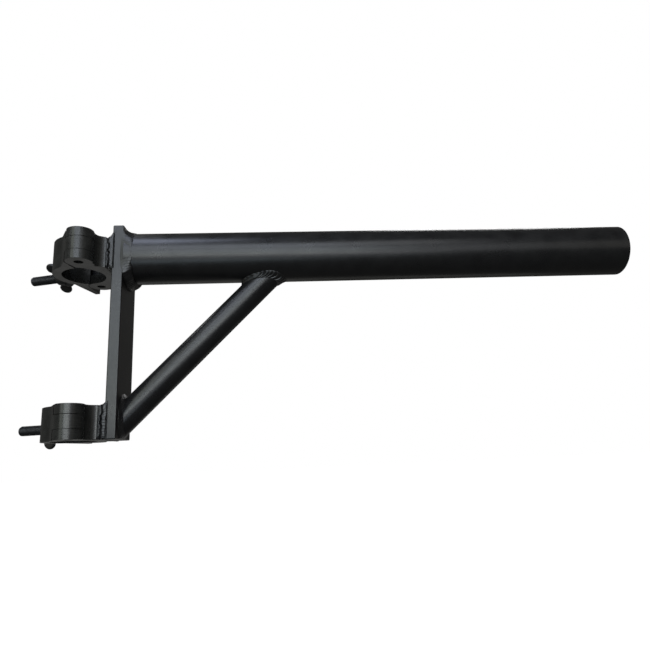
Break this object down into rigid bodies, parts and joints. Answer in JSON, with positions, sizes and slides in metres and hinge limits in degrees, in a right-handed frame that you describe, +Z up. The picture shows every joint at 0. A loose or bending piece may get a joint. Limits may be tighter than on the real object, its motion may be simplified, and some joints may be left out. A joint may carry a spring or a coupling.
{
  "type": "truss extension arm",
  "caption": "Welded steel arm on an upright flat bar with a slanting brace, hung on an upright truss chord by half couplers that open at a hinge and close with a swing bolt and wing nut.",
  "frame": {"origin": "on the axis of the truss chord that the clamps grip, at the height of the arm's axis", "axes": "+Z up along the chord, +X along the arm away from the truss, +Y towards the side of the swing bolts"},
  "size_m": [0.6186, 0.1178, 0.2045],
  "materials": {
    "powder_coat": "satin black powder coat on steel",
    "coated_weld": "rippled weld bead under satin black powder coat",
    "black_alloy": "black coated alloy extrusion with fine lines across its faces",
    "black_steel": "black plated steel"
  },
  "bodies": {
    "frame": {"arm_tube": "powder_coat", "mounting_bar": "powder_coat", "brace_tube": "powder_coat", "weld_arm_to_bar": "coated_weld", "weld_brace_to_arm": "coated_weld", "weld_brace_to_bar": "coated_weld", "weld_upper_saddle": "coated_weld", "weld_lower_saddle": "coated_weld", "upper_saddle": "black_alloy", "lower_saddle": "black_alloy", "upper_hinge_pin": "black_steel", "upper_bolt_pin": "black_steel", "lower_hinge_pin": "black_steel", "lower_bolt_pin": "black_steel"},
    "upper_jaw": {"upper_jaw": "black_alloy"},
    "upper_bolt": {"upper_swing_bolt": "black_steel"},
    "upper_washer": {"upper_washer": "black_steel"},
    "upper_nut": {"upper_wing_nut": "black_steel"},
    "lower_jaw": {"lower_jaw": "black_alloy"},
    "lower_bolt": {"lower_swing_bolt": "black_steel"},
    "lower_washer": {"lower_washer": "black_steel"},
    "lower_nut": {"lower_wing_nut": "black_steel"}
  },
  "joints": [
    {"name": "upper_jaw_open", "type": "hinge", "parent": "frame", "child": "upper_jaw", "pos_m": [0.01392, -0.03888, -0.0007], "axis": [0, 0, 1], "range_deg": [0, 45]},
    {"name": "upper_bolt_swing", "type": "hinge", "parent": "frame", "child": "upper_bolt", "pos_m": [0.01053, 0.03488, -0.0007], "axis": [0, 0, 1], "range_deg": [-135, 0]},
    {"name": "upper_nut_travel", "type": "slide", "parent": "upper_bolt", "child": "upper_washer", "axis": [-0.9548, 0.2974, 0], "range_m": [-0.017, 0.03]},
    {"name": "upper_nut_spin", "type": "hinge", "parent": "upper_washer", "child": "upper_nut", "pos_m": [-0.02899, 0.0472, -0.0007], "axis": [-0.9548, 0.2974, 0], "range_deg": [-4080, 7200]},
    {"name": "lower_jaw_open", "type": "hinge", "parent": "frame", "child": "lower_jaw", "pos_m": [0.01392, -0.03888, -0.1583], "axis": [0, 0, 1], "range_deg": [0, 45]},
    {"name": "lower_bolt_swing", "type": "hinge", "parent": "frame", "child": "lower_bolt", "pos_m": [0.01053, 0.03488, -0.1583], "axis": [0, 0, 1], "range_deg": [-135, 0]},
    {"name": "lower_nut_travel", "type": "slide", "parent": "lower_bolt", "child": "lower_washer", "axis": [-0.9548, 0.2974, 0], "range_m": [-0.017, 0.03]},
    {"name": "lower_nut_spin", "type": "hinge", "parent": "lower_washer", "child": "lower_nut", "pos_m": [-0.02899, 0.0472, -0.1583], "axis": [-0.9548, 0.2974, 0], "range_deg": [-4080, 7200]}
  ],
  "couplings": [
    {"joint": "upper_bolt_swing", "follows": "upper_jaw_open", "ratio": -3},
    {"joint": "upper_nut_travel", "follows": "upper_nut_spin", "m_per_rad": 0.00023873},
    {"joint": "lower_bolt_swing", "follows": "lower_jaw_open", "ratio": -3},
    {"joint": "lower_nut_travel", "follows": "lower_nut_spin", "m_per_rad": 0.00023873}
  ]
}
